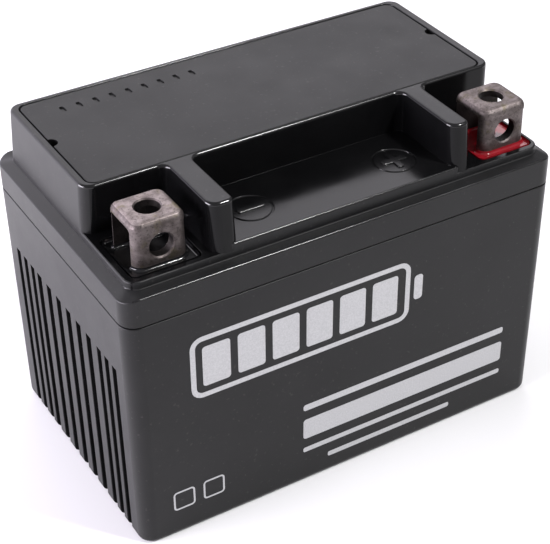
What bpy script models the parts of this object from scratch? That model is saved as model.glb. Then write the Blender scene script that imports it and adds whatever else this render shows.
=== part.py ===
"""Sealed six-cell lead-acid motorcycle battery, built as the pieces that it comes apart into.

Frame: X along the length, positive terminal at +X; Y towards the back; Z up.
The origin is the centre of the base. Lengths are in millimetres until a mesh is made.
"""

import itertools
import math

import bmesh
import bpy
from mathutils import Vector

MM = 0.001
GAP = 0.3
PAST = 1.0  # how far a cutter runs past the face that it opens
OVERLAP = 2.0  # how far joined shapes run into each other

# Outside of the case
LENGTH = 113.0
WIDTH = 70.0
HEIGHT = 85.0
CASE_RADIUS = 4.0
BASE_RADIUS = 1.5
BASE_DRAFT = 0.5
CORNER_STEPS = 5

# Container: walls, floor and the six cells
CONTAINER_TOP = 63.25
WALL = 2.5
FLOOR = 2.5
CELLS = 6
PARTITION = 1.5
CELL_LENGTH = (LENGTH - 2 * WALL - (CELLS - 1) * PARTITION) / CELLS
CELL_PITCH = CELL_LENGTH + PARTITION
CELL_HALF_WIDTH = WIDTH / 2 - WALL

# Grooves in both ends: six close to the middle, three more towards each corner
GROOVE_TOP = 48.7
GROOVE_DEPTH = 1.5
GROOVE_FLARE = 0.12  # what each side of a groove opens by, per millimetre of depth
MIDDLE_GROOVES = [(-13.3 + 5.45 * i, 1.35) for i in range(6)]  # place along Y, half the width at the mouth
OUTER_GROOVES = [(y, 1.15) for y in (-26.6, -22.7, -18.8, 18.05, 22.2, 26.35)]

# Cover: skirt, ledge, podium and the deck with its two fingers
COVER_BOTTOM = CONTAINER_TOP + GAP
LEDGE_EDGE = 70.75
LEDGE_RADIUS = 0.4
LEDGE_TOP = 71.15
END_DROP = 0.75
DECK_HALF_LENGTH = 53.9
DECK_BACK = 31.6
DECK_FRONT = -11.0
DECK_RADIUS = 3.0
FINGER_FRONT = -32.3
FINGER_LEFT = (-33.3, -27.9)
FINGER_RIGHT = (28.1, 33.75)
FINGER_RADIUS = 1.9
INSIDE_RADIUS = 2.2
TOP_RADIUS = 0.7
RECESS_FLOOR = 74.7
RECESS_RADIUS = 0.3
COVER_ROOF = 67.9

# Curb and resin cup round each terminal
CURB_TOP = 73.0
CURB_RADIUS = 0.4
PODIUM_STEP = 0.1
FRONT_CURB = 1.7
OUTER_CURB = 0.9  # least thickness at the end of the deck
CUP_MARGIN = 2.05
CUP_RADIUS = 1.6
CUP_FLOOR = 69.9
RESIN_TOP = 72.5

# Pocket, shelf and wells for the cap strip
STRIP_LEFT = -51.5
STRIP_RIGHT = 52.3
STRIP_FRONT = -10.3
STRIP_BACK = 29.6
STRIP_RADIUS = 2.5
SHELF = 82.6
SHELF_WIDTH = 1.6
POCKET_FLOOR = 76.0
CHAMBER_ROOF = 74.0
CHAMBER_FRONT = -8.4
CHAMBER_BACK = 29.0
WELL_Y = 9.65
WELL_RADIUS = 5.2
WELL_WALL = 1.4
WELL_BOTTOM = 66.0

# Cap strip and its valves
STRIP_TOP = 84.9
STRIP_EDGE = 0.3
SLEEVE_RADIUS = WELL_RADIUS - GAP
SLEEVE_BORE = 3.7
SLEEVE_BOTTOM = 67.5
SLEEVE_ROOF = 80.0
NOTCH_Y = 10.3
NOTCH_RADIUS = 1.3
VALVE_RADIUS = SLEEVE_BORE - GAP
VALVE_BORE = 2.0
VALVE_BOTTOM = 72.5
VALVE_TOP = 78.5
VALVE_LIP = 0.8

# Terminal blocks
TERMINAL_X = {"negative": -43.7, "positive": 46.1}
TERMINAL_Y = -22.1
TERMINAL_HALF_LENGTH = 6.35
TERMINAL_HALF_WIDTH = 6.2
TERMINAL_BOTTOM = 70.5
TERMINAL_TOP = 83.7
TERMINAL_RADIUS = 2.5
TERMINAL_EDGE = 1.0
BASE_PLATE_TOP = 72.2
WINDOW_WALL = 2.5
WINDOW_TOP = 81.9
BOLT_RADIUS = 2.85
BOLT_Z = 77.3

# Pole posts and their sealing rings
POST_Y = TERMINAL_Y
POST_RADIUS = 3.2
POST_FOOT_RADIUS = 4.2
POST_FOOT = 1.2
BOSS_RADIUS = 7.0
BOSS_BOTTOM = 65.4
RING_SEAT = 67.4
RING_RADIUS = 5.3
RING_HEIGHT = 1.8

# Plates, separators, straps and partition welds
NEGATIVE_PLATES = ((-7.6, -6.1), (-0.9, 0.9), (6.1, 7.6))
POSITIVE_PLATES = ((-4.6, -2.4), (2.4, 4.6))
SHEETS = ((-5.8, -4.9), (-2.1, -1.2), (1.2, 2.1), (4.9, 5.8))
SHEET = SHEETS[0][1] - SHEETS[0][0]
PLATE_BOTTOM = 3.6
PLATE_TOP = 48.0
PLATE_HALF_WIDTH = 30.7
SHEET_BOTTOM = 2.9
SHEET_TOP = 50.0
LUG_HALF_WIDTH = 4.0
STRAP_Y = 18.0
STRAP_HALF_WIDTH = 5.0
POLE_STRAP_FRONT = -26.8
STRAP_BOTTOM = 51.5
STRAP_TOP = 54.5
UPRIGHT_TOP = 61.5
UPRIGHT_HALF_WIDTH = 4.5
UPRIGHT_THICKNESS = 2.0
WELD_Z = 58.0
WELD_RADIUS = 2.6


def clear_scene():
    for obj in list(bpy.data.objects):
        bpy.data.objects.remove(obj, do_unlink=True)


def material(name, colour, roughness, metallic=0.0):
    made = bpy.data.materials.new(name)
    made.use_nodes = True
    shader = made.node_tree.nodes["Principled BSDF"]
    shader.inputs["Base Color"].default_value = (*colour, 1.0)
    shader.inputs["Roughness"].default_value = roughness
    shader.inputs["Metallic"].default_value = metallic
    made.diffuse_color = (*colour, 1.0)
    return made


def new_object(name, bm, origin=(0.0, 0.0, 0.0)):
    """The mesh, drawn in millimetres, as an object whose origin is at the given place."""
    for vert in bm.verts:
        vert.co = [(here - start) * MM for here, start in zip(vert.co, origin)]
    bmesh.ops.recalc_face_normals(bm, faces=bm.faces)
    mesh = bpy.data.meshes.new(name)
    bm.to_mesh(mesh)
    bm.free()
    obj = bpy.data.objects.new(name, mesh)
    obj.location = [value * MM for value in origin]
    bpy.context.scene.collection.objects.link(obj)
    return obj


def node(name, bm, finish, origin=(0.0, 0.0, 0.0)):
    obj = new_object(name, bm, origin)
    obj.data.materials.append(finish)
    obj.data.shade_smooth()
    obj.data.set_sharp_from_angle(angle=math.radians(35))
    return obj


def combine(obj, bm, name, operation):
    """Adds or cuts the helper shape, which itself stays out of the model."""
    helper = new_object(name, bm)
    helper.hide_render = True
    helper.display_type = "WIRE"
    modifier = obj.modifiers.new(name, "BOOLEAN")
    modifier.operation = operation
    modifier.solver = "EXACT"
    modifier.object = helper


def heading(start, end):
    """The direction, along X or Y, from one corner to the next."""
    return Vector((end[0] - start[0], end[1] - start[1])).normalized()


def left_of(direction):
    return Vector((-direction.y, direction.x))


def outline(corners, inset, z):
    """A ring of points round right-angled corners (x, y, radius), listed anticlockwise."""
    ring = []
    for i, corner in enumerate(corners):
        into = heading(corners[i - 1], corner)
        out = heading(corner, corners[(i + 1) % len(corners)])
        turn = math.copysign(1, into.cross(out))
        first, last = left_of(into), left_of(out)
        centre = Vector(corner[:2]) + turn * corner[2] * (first + last)
        reach = corner[2] - turn * inset
        for step in range(CORNER_STEPS + 1):
            angle = math.pi / 2 * step / CORNER_STEPS
            point = centre - turn * reach * (math.cos(angle) * first + math.sin(angle) * last)
            ring.append((point.x, point.y, z))
    return ring


def rectangle(left, right, front, back, radius):
    return [(left, front, radius), (right, front, radius), (right, back, radius), (left, back, radius)]


def loft(bm, rings):
    """A closed solid through rings of equal length, capped at both ends."""
    made = [[bm.verts.new(point) for point in ring] for ring in rings]
    for lower, upper in zip(made, made[1:]):
        for i in range(len(lower)):
            j = (i + 1) % len(lower)
            bm.faces.new((lower[i], lower[j], upper[j], upper[i]))
    bm.faces.new(reversed(made[0]))
    bm.faces.new(made[-1])


def cylinder(bm, centre, radius, low, high, axis="z", steps=24):
    """A capped cylinder; centre holds the two coordinates across its axis, in X, Y, Z order."""
    place = {
        "x": lambda a, b, along: (along, centre[0] + a, centre[1] + b),
        "y": lambda a, b, along: (centre[0] + a, along, centre[1] + b),
        "z": lambda a, b, along: (centre[0] + a, centre[1] + b, along),
    }[axis]
    rings = []
    for along in (low, high):
        angles = [2 * math.pi * i / steps for i in range(steps)]
        rings.append([place(radius * math.cos(t), radius * math.sin(t), along) for t in angles])
    loft(bm, rings)


def turned(bm, profile, centre, steps=24):
    """A closed profile of (radius, height), turned round the upright line through centre."""
    rings = []
    for i in range(steps):
        angle = 2 * math.pi * i / steps
        ring = []
        for radius, height in profile:
            if radius == 0 and rings:
                ring.append(rings[0][len(ring)])
            else:
                point = (centre[0] + radius * math.cos(angle), centre[1] + radius * math.sin(angle), height)
                ring.append(bm.verts.new(point))
        rings.append(ring)
    for i, ring in enumerate(rings):
        beside = rings[(i + 1) % steps]
        for k in range(len(profile)):
            m = (k + 1) % len(profile)
            corners = list(dict.fromkeys((ring[k], beside[k], beside[m], ring[m])))
            if len(corners) > 2:
                bm.faces.new(corners)


def box(bm, low, high):
    base = ((low[0], low[1]), (high[0], low[1]), (high[0], high[1]), (low[0], high[1]))
    verts = [bm.verts.new((x, y, z)) for z in (low[2], high[2]) for x, y in base]
    for face in ((3, 2, 1, 0), (4, 5, 6, 7), (0, 1, 5, 4), (1, 2, 6, 5), (2, 3, 7, 6), (3, 0, 4, 7)):
        bm.faces.new([verts[i] for i in face])


def joined_boxes(bm, boxes):
    """The outer surface of boxes that meet or overlap, on the grid of all their sides."""
    cuts = [sorted({end[axis] for low_high in boxes for end in low_high}) for axis in range(3)]

    def filled(cell):
        if any(not 0 <= i < len(cut) - 1 for i, cut in zip(cell, cuts)):
            return False
        middle = [(cut[i] + cut[i + 1]) / 2 for i, cut in zip(cell, cuts)]
        return any(all(a < m < b for a, m, b in zip(low, middle, high)) for low, high in boxes)

    verts = {}

    def corner(index):
        if index not in verts:
            verts[index] = bm.verts.new([cut[i] for i, cut in zip(index, cuts)])
        return verts[index]

    for cell in filter(filled, itertools.product(*(range(len(cut)) for cut in cuts))):
        for axis in range(3):
            across = [other for other in range(3) if other != axis]
            for side in (0, 1):
                beyond = list(cell)
                beyond[axis] += 2 * side - 1
                if filled(beyond):
                    continue
                face = []
                for a, b in ((0, 0), (1, 0), (1, 1), (0, 1)):
                    index = list(cell)
                    index[axis] += side
                    index[across[0]] += a
                    index[across[1]] += b
                    face.append(corner(tuple(index)))
                bm.faces.new(face)
    bmesh.ops.recalc_face_normals(bm, faces=bm.faces)
    bmesh.ops.dissolve_limit(bm, angle_limit=math.radians(1), verts=bm.verts, edges=bm.edges)


def cell_centre(cell):
    return (cell - (CELLS - 1) / 2) * CELL_PITCH


def positive_side(cell):
    """The sign of Y on which the cell's positive strap lies; it changes from cell to cell."""
    return 1 if cell % 2 == 0 else -1


def cell_boxes(bm, low, high, front=-CELL_HALF_WIDTH, back=CELL_HALF_WIDTH, reach=LENGTH / 2 - WALL):
    """One box for each cell; the end ones stop at the given distance from the middle of the case."""
    for cell in range(CELLS):
        x = cell_centre(cell)
        left, right = max(x - CELL_LENGTH / 2, -reach), min(x + CELL_LENGTH / 2, reach)
        box(bm, (left, front, low), (right, back, high))


def rounded_edge(top, radius):
    """Heights and insets that round the upper edge of a solid in two facets."""
    middle = radius * (1 - math.cos(math.pi / 4))
    return [(top - radius, 0.0), (top - middle, middle), (top, radius)]


def case_rings(levels):
    corners = rectangle(-LENGTH / 2, LENGTH / 2, -WIDTH / 2, WIDTH / 2, CASE_RADIUS)
    return [outline(corners, inset, z) for z, inset in levels]


def make_container(plastic):
    bm = bmesh.new()
    levels = []
    for step in range(4):
        angle = math.pi / 2 * step / 3
        levels.append((BASE_RADIUS * (1 - math.sin(angle)), BASE_DRAFT + BASE_RADIUS * (1 - math.cos(angle))))
    levels.reverse()
    loft(bm, case_rings(levels + [(CONTAINER_TOP, 0.0)]))
    container = node("container", bm, plastic)
    cells = bmesh.new()
    cell_boxes(cells, FLOOR, CONTAINER_TOP + PAST)
    combine(container, cells, "cell_cutter", "DIFFERENCE")
    holes = bmesh.new()
    for cell in range(CELLS - 1):
        middle = cell_centre(cell) + CELL_PITCH / 2
        place = (positive_side(cell) * STRAP_Y, WELD_Z)
        cylinder(holes, place, WELD_RADIUS + GAP, middle - PARTITION, middle + PARTITION, "x", 16)
    combine(container, holes, "weld_hole_cutter", "DIFFERENCE")
    grooves = bmesh.new()
    for end in (-1, 1):
        for place, half_width in MIDDLE_GROOVES + OUTER_GROOVES:
            cut_groove(grooves, end, place, half_width)
    combine(container, grooves, "groove_cutter", "DIFFERENCE")
    return container


def cut_groove(bm, end, y, half_width):
    """A groove of trapezium section whose top runs out at a slope and whose foot opens below the base."""
    outside = end * (LENGTH / 2 + PAST)
    foot = end * (LENGTH / 2 - BASE_DRAFT - GROOVE_DEPTH)
    head = end * (LENGTH / 2 - GROOVE_DEPTH)
    wide = half_width + GROOVE_FLARE * PAST
    narrow = half_width - GROOVE_FLARE * GROOVE_DEPTH
    rings = []
    for root, root_z, mouth_z in ((foot, -PAST, -PAST), (head, GROOVE_TOP - GROOVE_DEPTH, GROOVE_TOP + PAST)):
        mouth = [(outside, y + wide, mouth_z), (outside, y - wide, mouth_z)]
        rings.append([(root, y - narrow, root_z), (root, y + narrow, root_z)] + mouth)
    loft(bm, rings)


def deck_corners():
    """The deck seen from above: a bar along the back, and a finger on each side of the middle recess."""
    return [
        (-DECK_HALF_LENGTH, DECK_FRONT, DECK_RADIUS),
        (FINGER_LEFT[0], DECK_FRONT, INSIDE_RADIUS),
        (FINGER_LEFT[0], FINGER_FRONT, FINGER_RADIUS),
        (FINGER_LEFT[1], FINGER_FRONT, FINGER_RADIUS),
        (FINGER_LEFT[1], DECK_FRONT, INSIDE_RADIUS),
        (FINGER_RIGHT[0], DECK_FRONT, INSIDE_RADIUS),
        (FINGER_RIGHT[0], FINGER_FRONT, FINGER_RADIUS),
        (FINGER_RIGHT[1], FINGER_FRONT, FINGER_RADIUS),
        (FINGER_RIGHT[1], DECK_FRONT, INSIDE_RADIUS),
        (DECK_HALF_LENGTH, DECK_FRONT, DECK_RADIUS),
        (DECK_HALF_LENGTH, DECK_BACK, DECK_RADIUS),
        (-DECK_HALF_LENGTH, DECK_BACK, DECK_RADIUS),
    ]


def cup_corners(pole):
    """The inside of the curb round one terminal: an even margin that the end of the deck cuts short."""
    reach = TERMINAL_HALF_LENGTH + CUP_MARGIN
    outside = DECK_HALF_LENGTH - OUTER_CURB
    left = max(TERMINAL_X[pole] - reach, -outside)
    right = min(TERMINAL_X[pole] + reach, outside)
    back = TERMINAL_Y + TERMINAL_HALF_WIDTH + CUP_MARGIN
    return rectangle(left, right, FINGER_FRONT + FRONT_CURB, back, CUP_RADIUS)


def end_drop(x):
    """How much lower the rim of the ledge runs here: it dips round the corners, so both ends slope outwards."""
    share = max(0.0, (abs(x) - LENGTH / 2 + CASE_RADIUS) / CASE_RADIUS)
    return END_DROP * share * share * (3 - 2 * share)


def make_cover(plastic):
    bm = bmesh.new()
    side = DECK_HALF_LENGTH - PODIUM_STEP
    podium = rectangle(-side, side, FINGER_FRONT + PODIUM_STEP, DECK_BACK - PODIUM_STEP, DECK_RADIUS)
    rings = case_rings([(COVER_BOTTOM, 0.0)])
    for ring in case_rings([(LEDGE_EDGE - LEDGE_RADIUS, 0.0), (LEDGE_EDGE, LEDGE_RADIUS)]):
        rings.append([(x, y, z - end_drop(x)) for x, y, z in ring])
    rings.append(outline(podium, 0.0, LEDGE_TOP))
    rings.append(outline(podium, 0.0, CURB_TOP - CURB_RADIUS))
    rings.append(outline(podium, CURB_RADIUS, CURB_TOP))
    loft(bm, rings)
    cover = node("cover", bm, plastic)
    add_deck(cover)
    cut_cover_inside(cover)
    cut_strip_pocket(cover)
    for pole, x in TERMINAL_X.items():
        cut_terminal_pocket(cover, pole, x)
    return cover


def add_deck(cover):
    deck = bmesh.new()
    levels = [(LEDGE_EDGE, 0.0)] + rounded_edge(HEIGHT, TOP_RADIUS)
    loft(deck, [outline(deck_corners(), inset, z) for z, inset in levels])
    combine(cover, deck, "deck", "UNION")
    floor = bmesh.new()
    left, right = FINGER_LEFT[1] - OVERLAP, FINGER_RIGHT[0] + OVERLAP
    front, back = FINGER_FRONT + PODIUM_STEP / 2, DECK_FRONT + OVERLAP
    middle = rectangle(left, right, front, back, 2 * RECESS_RADIUS)
    levels = [(LEDGE_EDGE, 0.0), (RECESS_FLOOR - RECESS_RADIUS, 0.0), (RECESS_FLOOR, RECESS_RADIUS)]
    loft(floor, [outline(middle, inset, z) for z, inset in levels])
    combine(cover, floor, "recess_floor", "UNION")


def cut_cover_inside(cover):
    """Six chambers over the cells, taller under the deck, with a well for each plug hanging into them."""
    low = bmesh.new()
    cell_boxes(low, COVER_BOTTOM - PAST, COVER_ROOF)
    combine(cover, low, "chamber_cutter", "DIFFERENCE")
    high = bmesh.new()
    reach = DECK_HALF_LENGTH - WALL
    cell_boxes(high, COVER_ROOF - PAST, CHAMBER_ROOF, CHAMBER_FRONT, CHAMBER_BACK, reach)
    combine(cover, high, "high_chamber_cutter", "DIFFERENCE")
    wells = bmesh.new()
    outer_radius = WELL_RADIUS + WELL_WALL
    for cell in range(CELLS):
        cylinder(wells, (cell_centre(cell), WELL_Y), outer_radius, WELL_BOTTOM, CHAMBER_ROOF + PAST)
    combine(cover, wells, "well_tubes", "UNION")


def cut_strip_pocket(cover):
    corners = rectangle(STRIP_LEFT, STRIP_RIGHT, STRIP_FRONT, STRIP_BACK, STRIP_RADIUS)
    upper = bmesh.new()
    loft(upper, [outline(corners, 0.0, SHELF), outline(corners, 0.0, HEIGHT + PAST)])
    combine(cover, upper, "strip_pocket_cutter", "DIFFERENCE")
    lower = bmesh.new()
    loft(lower, [outline(corners, SHELF_WIDTH, POCKET_FLOOR), outline(corners, SHELF_WIDTH, SHELF + PAST)])
    combine(cover, lower, "strip_shelf_cutter", "DIFFERENCE")
    bores = bmesh.new()
    for cell in range(CELLS):
        cylinder(bores, (cell_centre(cell), WELL_Y), WELL_RADIUS, WELL_BOTTOM - PAST, SHELF + PAST)
    combine(cover, bores, "well_bore_cutter", "DIFFERENCE")


def cut_terminal_pocket(cover, pole, x):
    boss = bmesh.new()
    cylinder(boss, (x, POST_Y), BOSS_RADIUS, BOSS_BOTTOM, COVER_ROOF + PAST)
    combine(cover, boss, "post_boss_" + pole, "UNION")
    cup = bmesh.new()
    loft(cup, [outline(cup_corners(pole), 0.0, CUP_FLOOR), outline(cup_corners(pole), 0.0, CURB_TOP + PAST)])
    combine(cover, cup, "cup_cutter_" + pole, "DIFFERENCE")
    seat = bmesh.new()
    cylinder(seat, (x, POST_Y), RING_RADIUS + GAP, RING_SEAT, CUP_FLOOR + PAST)
    combine(cover, seat, "ring_seat_cutter_" + pole, "DIFFERENCE")
    hole = bmesh.new()
    cylinder(hole, (x, POST_Y), POST_RADIUS + GAP, BOSS_BOTTOM - PAST, RING_SEAT + PAST)
    combine(cover, hole, "post_hole_cutter_" + pole, "DIFFERENCE")


def make_cap_strip(plastic):
    """The flush plate with its six plug sleeves; its origin is on the line along which it lifts out."""
    bm = bmesh.new()
    corners = rectangle(STRIP_LEFT, STRIP_RIGHT, STRIP_FRONT, STRIP_BACK, STRIP_RADIUS)
    levels = ((SHELF + GAP, 0.0), (STRIP_TOP - STRIP_EDGE, 0.0), (STRIP_TOP, STRIP_EDGE))
    loft(bm, [outline(corners, GAP + inset, z) for z, inset in levels])
    strip = node("cap_strip", bm, plastic, (0.0, WELL_Y, SHELF + GAP))
    sleeves = bmesh.new()
    bores = bmesh.new()
    for cell in range(CELLS):
        centre = (cell_centre(cell), WELL_Y)
        cylinder(sleeves, centre, SLEEVE_RADIUS, SLEEVE_BOTTOM, SHELF + PAST)
        cylinder(bores, centre, SLEEVE_BORE, SLEEVE_BOTTOM - PAST, SLEEVE_ROOF)
    combine(strip, sleeves, "sleeves", "UNION")
    combine(strip, bores, "sleeve_bore_cutter", "DIFFERENCE")
    notches = bmesh.new()
    for x in (STRIP_LEFT + GAP, STRIP_RIGHT - GAP):
        cylinder(notches, (x, NOTCH_Y), NOTCH_RADIUS, SHELF, HEIGHT, steps=16)
    combine(strip, notches, "notch_cutter", "DIFFERENCE")
    return strip


def make_safety_valve(cell, rubber):
    """A rubber cap with a blind hole and a lip round its foot."""
    bm = bmesh.new()
    profile = [
        (VALVE_BORE, VALVE_BOTTOM),
        (VALVE_RADIUS, VALVE_BOTTOM),
        (VALVE_RADIUS, VALVE_BOTTOM + VALVE_LIP),
        (VALVE_RADIUS - VALVE_LIP / 2, VALVE_BOTTOM + 1.5 * VALVE_LIP),
        (VALVE_RADIUS - VALVE_LIP / 2, VALVE_TOP - VALVE_LIP / 2),
        (VALVE_RADIUS - VALVE_LIP, VALVE_TOP),
        (0, VALVE_TOP),
        (0, VALVE_TOP - VALVE_LIP),
        (VALVE_BORE, VALVE_TOP - VALVE_LIP),
    ]
    turned(bm, profile, (cell_centre(cell), WELL_Y), 16)
    return node(f"safety_valve_{cell + 1}", bm, rubber, (cell_centre(cell), WELL_Y, VALVE_BOTTOM))


def terminal_corners(x):
    half_x, half_y = TERMINAL_HALF_LENGTH, TERMINAL_HALF_WIDTH
    return rectangle(x - half_x, x + half_x, TERMINAL_Y - half_y, TERMINAL_Y + half_y, TERMINAL_RADIUS)


def window_span():
    """The front and back of the space that the nut slides into."""
    half = TERMINAL_HALF_WIDTH - WINDOW_WALL
    return TERMINAL_Y - half, TERMINAL_Y + half


def make_terminal(pole, x, lead):
    """A cast block with a nut window from side to side and a bolt hole from the top and from the front."""
    bm = bmesh.new()
    levels = [(TERMINAL_BOTTOM, 0.0)] + rounded_edge(TERMINAL_TOP, TERMINAL_EDGE)
    loft(bm, [outline(terminal_corners(x), inset, z) for z, inset in levels])
    block = node("terminal_" + pole, bm, lead, (x, TERMINAL_Y, TERMINAL_BOTTOM))
    window = bmesh.new()
    front, back = window_span()
    reach = TERMINAL_HALF_LENGTH + PAST
    box(window, (x - reach, front, BASE_PLATE_TOP), (x + reach, back, WINDOW_TOP))
    combine(block, window, "nut_window_cutter_" + pole, "DIFFERENCE")
    holes = bmesh.new()
    cylinder(holes, (x, TERMINAL_Y), BOLT_RADIUS, WINDOW_TOP - PAST, TERMINAL_TOP + PAST)
    cylinder(holes, (x, BOLT_Z), BOLT_RADIUS, TERMINAL_Y - TERMINAL_HALF_WIDTH - PAST, front + PAST, "y")
    combine(block, holes, "bolt_hole_cutter_" + pole, "DIFFERENCE")
    return block


def make_resin(pole, x, resin):
    """The poured seal: a flat pool inside the curb, round and between the walls of the block."""
    bm = bmesh.new()
    corners = cup_corners(pole)
    loft(bm, [outline(corners, GAP, z) for z in (CUP_FLOOR + GAP, RESIN_TOP)])
    seal = node("resin_seal_" + pole, bm, resin)
    left, right = x - TERMINAL_HALF_LENGTH - GAP, x + TERMINAL_HALF_LENGTH + GAP
    low, high = TERMINAL_Y - TERMINAL_HALF_WIDTH - GAP, TERMINAL_Y + TERMINAL_HALF_WIDTH + GAP
    if right > corners[1][0] - 2 * GAP:
        right = corners[1][0]
    front, back = window_span()
    foot = bmesh.new()
    box(foot, (left, low, CUP_FLOOR), (right, high, BASE_PLATE_TOP + GAP))
    combine(seal, foot, "foot_cutter_" + pole, "DIFFERENCE")
    walls = bmesh.new()
    box(walls, (left, low, CUP_FLOOR + PAST), (right, front + GAP, RESIN_TOP + PAST))
    box(walls, (left, back - GAP, CUP_FLOOR + PAST), (right, high, RESIN_TOP + PAST))
    combine(seal, walls, "wall_cutter_" + pole, "DIFFERENCE")
    return seal


def make_post(pole, x, lead):
    bm = bmesh.new()
    foot = STRAP_TOP + GAP
    top = TERMINAL_BOTTOM - GAP
    profile = [(0, foot), (POST_FOOT_RADIUS, foot), (POST_FOOT_RADIUS, foot + POST_FOOT)]
    profile += [(POST_RADIUS, foot + 2 * POST_FOOT), (POST_RADIUS, top), (0, top)]
    turned(bm, profile, (x, POST_Y))
    return node("pole_post_" + pole, bm, lead, (x, POST_Y, foot))


def make_sealing_ring(pole, x, rubber):
    bm = bmesh.new()
    middle = (POST_RADIUS + GAP + RING_RADIUS) / 2
    half = (RING_RADIUS - POST_RADIUS - GAP) / 2
    centre_z = RING_SEAT + GAP + RING_HEIGHT / 2
    angles = [2 * math.pi * i / 8 for i in range(8)]
    profile = [(middle + half * math.cos(t), centre_z + RING_HEIGHT / 2 * math.sin(t)) for t in angles]
    turned(bm, profile, (x, POST_Y), 20)
    return node("post_sealing_ring_" + pole, bm, rubber, (x, POST_Y, centre_z))


def make_plate_group(cell, sign, finish):
    """The plates of one polarity, the strap across their lugs and the upright at the partition."""
    x = cell_centre(cell)
    plates = POSITIVE_PLATES if sign > 0 else NEGATIVE_PLATES
    y = sign * positive_side(cell) * STRAP_Y
    has_weld = cell < CELLS - 1 if sign > 0 else cell > 0
    left, right = plates[0][0], plates[-1][1]
    at_wall = CELL_LENGTH / 2 - GAP
    if has_weld and sign > 0:
        right = at_wall
    if has_weld and sign < 0:
        left = -at_wall
    front = y - STRAP_HALF_WIDTH if has_weld else POLE_STRAP_FRONT
    boxes = [((x + left, front, STRAP_BOTTOM), (x + right, y + STRAP_HALF_WIDTH, STRAP_TOP))]
    for low, high in plates:
        boxes.append(((x + low, -PLATE_HALF_WIDTH, PLATE_BOTTOM), (x + high, PLATE_HALF_WIDTH, PLATE_TOP)))
        boxes.append(((x + low, y - LUG_HALF_WIDTH, PLATE_TOP), (x + high, y + LUG_HALF_WIDTH, STRAP_BOTTOM)))
    if has_weld:
        near = x + (at_wall - UPRIGHT_THICKNESS if sign > 0 else -at_wall)
        low = (near, y - UPRIGHT_HALF_WIDTH, STRAP_BOTTOM)
        boxes.append((low, (near + UPRIGHT_THICKNESS, y + UPRIGHT_HALF_WIDTH, UPRIGHT_TOP)))
    bm = bmesh.new()
    joined_boxes(bm, boxes)
    name = ("positive" if sign > 0 else "negative") + f"_plates_{cell + 1}"
    group = node(name, bm, finish)
    if has_weld:
        hole = bmesh.new()
        cylinder(hole, (y, WELD_Z), WELD_RADIUS + GAP, near - PAST, near + UPRIGHT_THICKNESS + PAST, "x", 16)
        combine(group, hole, "weld_cutter_" + name, "DIFFERENCE")
    return group


def make_separator(cell, glass_mat):
    """One strip of glass mat, folded back and forth between the plates."""
    x = cell_centre(cell)
    end = PLATE_HALF_WIDTH + GAP
    boxes = []
    for low, high in SHEETS:
        boxes.append(((x + low, -end - SHEET, SHEET_BOTTOM), (x + high, end + SHEET, SHEET_TOP)))
    for i, (first, second) in enumerate(zip(SHEETS, SHEETS[1:])):
        low, high = (end, end + SHEET) if i % 2 == 0 else (-end - SHEET, -end)
        boxes.append(((x + first[0], low, SHEET_BOTTOM), (x + second[1], high, SHEET_TOP)))
    bm = bmesh.new()
    joined_boxes(bm, boxes)
    return node(f"separator_{cell + 1}", bm, glass_mat)


def make_partition_weld(cell, lead):
    """A lead rivet through the uprights of two neighbouring cells and the wall between them."""
    bm = bmesh.new()
    middle = cell_centre(cell) + CELL_PITCH / 2
    reach = PARTITION / 2 + GAP + UPRIGHT_THICKNESS
    place = (positive_side(cell) * STRAP_Y, WELD_Z)
    cylinder(bm, place, WELD_RADIUS, middle - reach, middle + reach, "x", 16)
    return node(f"partition_weld_{cell + 1}", bm, lead)


def main():
    clear_scene()
    plastic = material("black_plastic", (0.02, 0.02, 0.021), 0.42)
    strip_plastic = material("strip_plastic", (0.022, 0.022, 0.023), 0.45)
    rubber = material("rubber", (0.03, 0.03, 0.03), 0.8)
    lead = material("cast_lead", (0.32, 0.3, 0.29), 0.5, 0.7)
    resins = {
        "negative": material("black_resin", (0.01, 0.01, 0.01), 0.12),
        "positive": material("red_resin", (0.36, 0.012, 0.02), 0.15),
    }
    positive_paste = material("positive_paste", (0.12, 0.05, 0.03), 0.85)
    negative_paste = material("negative_paste", (0.2, 0.2, 0.21), 0.8, 0.2)
    glass_mat = material("glass_mat", (0.8, 0.8, 0.78), 0.95)
    make_container(plastic)
    make_cover(plastic)
    make_cap_strip(strip_plastic)
    for pole, x in TERMINAL_X.items():
        make_terminal(pole, x, lead)
        make_resin(pole, x, resins[pole])
        make_post(pole, x, lead)
        make_sealing_ring(pole, x, rubber)
    for cell in range(CELLS):
        make_safety_valve(cell, rubber)
        make_plate_group(cell, 1, positive_paste)
        make_plate_group(cell, -1, negative_paste)
        make_separator(cell, glass_mat)
    for cell in range(CELLS - 1):
        make_partition_weld(cell, lead)


main()
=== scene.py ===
"""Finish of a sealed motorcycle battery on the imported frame: plastic, cast lead and poured resin.

Lengths are in millimetres until a mesh is made. X runs along the case, Y to the back, Z up.
"""

import math

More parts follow.
